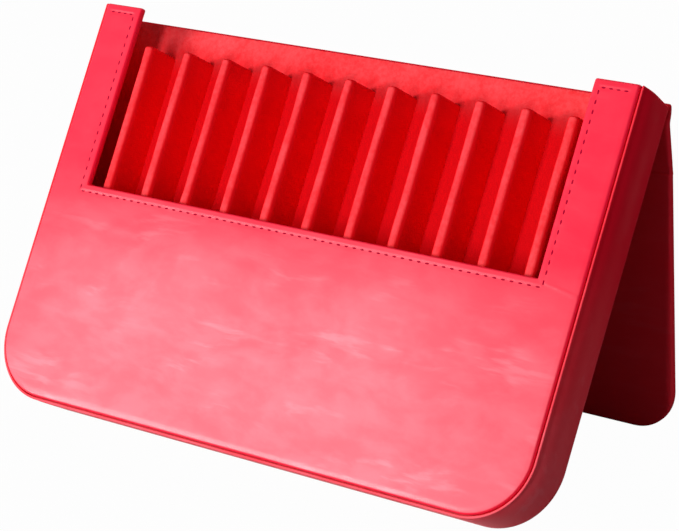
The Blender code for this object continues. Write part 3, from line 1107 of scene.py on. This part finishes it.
flip = Matrix.Rotation(math.pi, 4, "Y")
cover_depth = flap_high.z - flap_low.z
spine_face = local_box(SPINE, "spine_leather")[0].z
fold = SPINE.inverted() @ FLAP.translation


def tongue_levels(y):
    """Leather side and lined side of the joint, as heights in the spine's frame."""
    line = -NOSE_RADIUS - TONGUE_FALL_SHARE * y
    half = TOP_JOINT_WIDTH / 2
    low = line + (spine_face - line) * smooth_step((y - half) / half)
    lined = spine_face + cover_depth
    share = smooth_step((y - NOSE_FLAT) / (TOP_JOINT_WIDTH - NOSE_FLAT))
    return low, NOSE_RADIUS + (lined - NOSE_RADIUS) * share


def taper_to_hinge(shape):
    """Thins the first panel towards its hinge, where it ends in a soft nose on the hinge line."""
    for vert in shape.verts:
        share = -vert.co.z / cover_depth
        low, high = tongue_levels(max(vert.co.y, 0))
        vert.co.z = spine_face - (low + share * (high - low))


def cover_panel(name, body, place, low, high, high_radius, nodes, shift, reshape=None):
    """One cover panel: turned leather, and a lining let in flush with its hem.

    reshape is for the first panel, whose edge by the top hinge gets another form.
    """
    depth = cover_depth - LINING_SEAT
    shape = turned_cover(case_half, low, high, 0, high_radius, depth)
    grid(shape, case_half, low, high, BROAD_CELL)
    if reshape:
        cut(shape, Y_WAY, spaced(low, TOP_JOINT_WIDTH, JOINT_CELL))
    flat = FLAT_BY_HINGE if reshape else 0.0
    rise = soft_rise(case_half, low, high, COVER_PUFF, shift, low_flat=flat)
    raise_face(shape, rise, FACE_ROUND)
    if reshape:
        reshape(shape)
    finish_piece(f"{name}_panel", shape, place, cover_leather, body, nodes[:1])

    sheet = lining_sheet(
        case_half - LINING_INSET, low + LINING_INSET, high - LINING_INSET,
        0, max(high_radius - LINING_INSET, 0), LINING_SEAT + LINING_PROUD,
    )
    grid(sheet, case_half, low, high, BROAD_CELL)
    if reshape:
        cut(sheet, Y_WAY, spaced(low, TOP_JOINT_WIDTH, JOINT_CELL))
    turned = Matrix.Translation((0, 0, -depth - LINING_SEAT - LINING_PROUD)) @ flip
    bmesh.ops.transform(sheet, matrix=turned, verts=sheet.verts[:])
    if reshape:
        reshape(sheet)
    finish_piece(f"{name}_inner_lining", sheet, place, suede, body, nodes[1:])


def build_cover():
    place = SPINE @ Matrix.Translation((0, 0, spine_face)) @ flip
    cover_panel(
        "spine", "spine", place, -NOSE_RADIUS, fold.y - PANEL_FROM_FOLD, 0,
        ["spine_leather", "spine_lining"], shift=7.0, reshape=taper_to_hinge,
    )
    place = FLAP @ Matrix.Translation((0, 0, flap_low.z)) @ flip
    cover_panel(
        "flap", "flap", place, PANEL_FROM_FOLD, flap_high.y, FLAP_CORNER_RADIUS,
        ["flap_leather", "flap_lining"], shift=11.0,
    )


def fold_strip(name, low, high, look):
    """A soft strip across the fold between the panels."""
    shape = bmesh.new()
    half = case_half - FOLD_INSET
    flat_outline(shape, half, fold.y - FOLD_HALF, fold.y + FOLD_HALF)
    thicken(shape, high - low)
    round_off(shape, rim_edges(shape, 0), FOLD_ROUND, 3)
    round_off(shape, rim_edges(shape, low - high), FOLD_ROUND, 3)
    cut(shape, Y_WAY, spaced(fold.y - FOLD_HALF, fold.y + FOLD_HALF, FOLD_CELL, fold.y))
    cut(shape, X_WAY, spaced(-half, half, BROAD_CELL))
    place = SPINE @ Matrix.Translation((0, 0, high))
    strip = finish_piece(name, shape, place, look, None)
    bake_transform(strip)


build_cover()
leather_low = spine_face + 0.0003
leather_high = spine_face + 0.0020
lining_low = spine_face + 0.0017
lining_high = spine_face + cover_depth - 0.0002
fold_strip("fold_leather", leather_low, leather_high, cover_leather)
fold_strip("fold_lining", lining_low, lining_high, suede)


# Boards, card cores and magnets keep the part's own shapes

for name, piece in frame["nodes"].items():
    if not piece.hide_render:
        piece.data.materials.clear()
        piece.data.materials.append(steel if "magnet" in name else board)


# Camera, floor and light

CAMERA_PLACE = Vector((0.602694, -0.806216, -0.021236))
CAMERA_RIGHT = Vector((0.79609, 0.53538, 0.28216))
CAMERA_UP = Vector((-0.17294, -0.24554, 0.95384))
SENSOR_WIDTH = 36.0
IMAGE_WIDTH = 679
FOCAL_PIXELS = 2578
CASE_MIDDLE = (0, 0, 0.08)
FLOOR_HALF = 6
FLOOR_GREY = (0.26, 0.26, 0.26, 1)
FLOOR_WHITE_SHARE = 0.98
WHITE = (1, 1, 1, 1)
FILL_HEIGHTS = (0.1, 0.9)
FILL_RANGE = (0.003, 0.22)


def build_camera():
    """The camera, placed in the case's frame as the photograph has it."""
    camera = bpy.data.cameras.new("camera")
    camera.sensor_fit = "HORIZONTAL"
    camera.sensor_width = SENSOR_WIDTH
    camera.lens = SENSOR_WIDTH * FOCAL_PIXELS / IMAGE_WIDTH
    camera.clip_end = 100
    stand = add_object("camera", camera)
    back = CAMERA_RIGHT.cross(CAMERA_UP)
    turn = Matrix((CAMERA_RIGHT, CAMERA_UP, back)).transposed().to_4x4()
    stand.matrix_world = CASE @ Matrix.Translation(CAMERA_PLACE) @ turn
    bpy.context.scene.camera = stand


def white_share(tree):
    """1 for rays that should see a white background: from the camera, from gloss and from glass."""
    path = node(tree, "ShaderNodeLightPath")
    share = maths(tree, "ADD", path.outputs["Is Camera Ray"], path.outputs["Is Glossy Ray"])
    share = maths(tree, "ADD", share, path.outputs["Is Transmission Ray"])
    return maths(tree, "MINIMUM", share, 1.0)


def build_floor():
    """A pale floor that looks white and still takes the object's shadow and reflects its light."""
    shape = bmesh.new()
    bmesh.ops.create_grid(shape, x_segments=1, y_segments=1, size=FLOOR_HALF)
    mesh = bpy.data.meshes.new("floor")
    shape.to_mesh(mesh)
    shape.free()
    floor = add_object("floor", mesh)
    look, tree, shader = material("pale_floor")
    feed(tree, shader, {"Base Color": FLOOR_GREY, "Roughness": 0.9, "Specular IOR Level": 0.0})
    glow = node(tree, "ShaderNodeEmission", {"Strength": 1.0})
    share = maths(tree, "MULTIPLY", white_share(tree), FLOOR_WHITE_SHARE)
    mix = node(tree, "ShaderNodeMixShader", {0: share, 1: shader.outputs[0], 2: glow.outputs[0]})
    feed(tree, tree.nodes["Material Output"], {"Surface": mix.outputs[0]})
    mesh.materials.append(look)


def build_world():
    """A soft fill, dim at the horizon and brighter overhead, and a white backdrop."""
    world = bpy.data.worlds.new("studio")
    world.use_nodes = True
    bpy.context.scene.world = world
    tree = world.node_tree
    height = xyz_of(tree, node(tree, "ShaderNodeTexCoord").outputs["Generated"])["Z"]
    fill = tree.nodes["Background"]
    strength = ranged(tree, height, *FILL_HEIGHTS, *FILL_RANGE)
    feed(tree, fill, {"Color": WHITE, "Strength": strength})
    backdrop = node(tree, "ShaderNodeBackground", {"Color": WHITE, "Strength": 1.0})
    mix = node(
        tree, "ShaderNodeMixShader",
        {0: white_share(tree), 1: fill.outputs[0], 2: backdrop.outputs[0]},
    )
    feed(tree, tree.nodes["World Output"], {"Surface": mix.outputs[0]})


def area_light(name, place, width, height, power, aim=CASE_MIDDLE):
    lamp = bpy.data.lights.new(name, "AREA")
    lamp.shape = "RECTANGLE"
    lamp.size = width
    lamp.size_y = height
    lamp.energy = power
    stand = add_object(name, lamp)
    stand.location = place
    stand.rotation_euler = (Vector(aim) - Vector(place)).to_track_quat("-Z", "Y").to_euler()
    return stand


build_camera()
build_floor()
build_world()
area_light("key", (-1.02, -1.27, 0.50), width=0.6, height=0.6, power=24)
area_light("rear", (-0.2, 1.6, 0.7), width=0.8, height=0.8, power=12, aim=(0, 0.05, 0.08))
area_light("side", (1.2, 0.35, 0.9), width=0.5, height=0.5, power=1.8, aim=(0.1, 0, 0.08))
front_fill = area_light("front_fill", (0.06, -1.5, 0.68), width=0.3, height=1.0, power=13.5)
front_fill.visible_glossy = False
bpy.context.scene.view_settings.view_transform = "Standard"
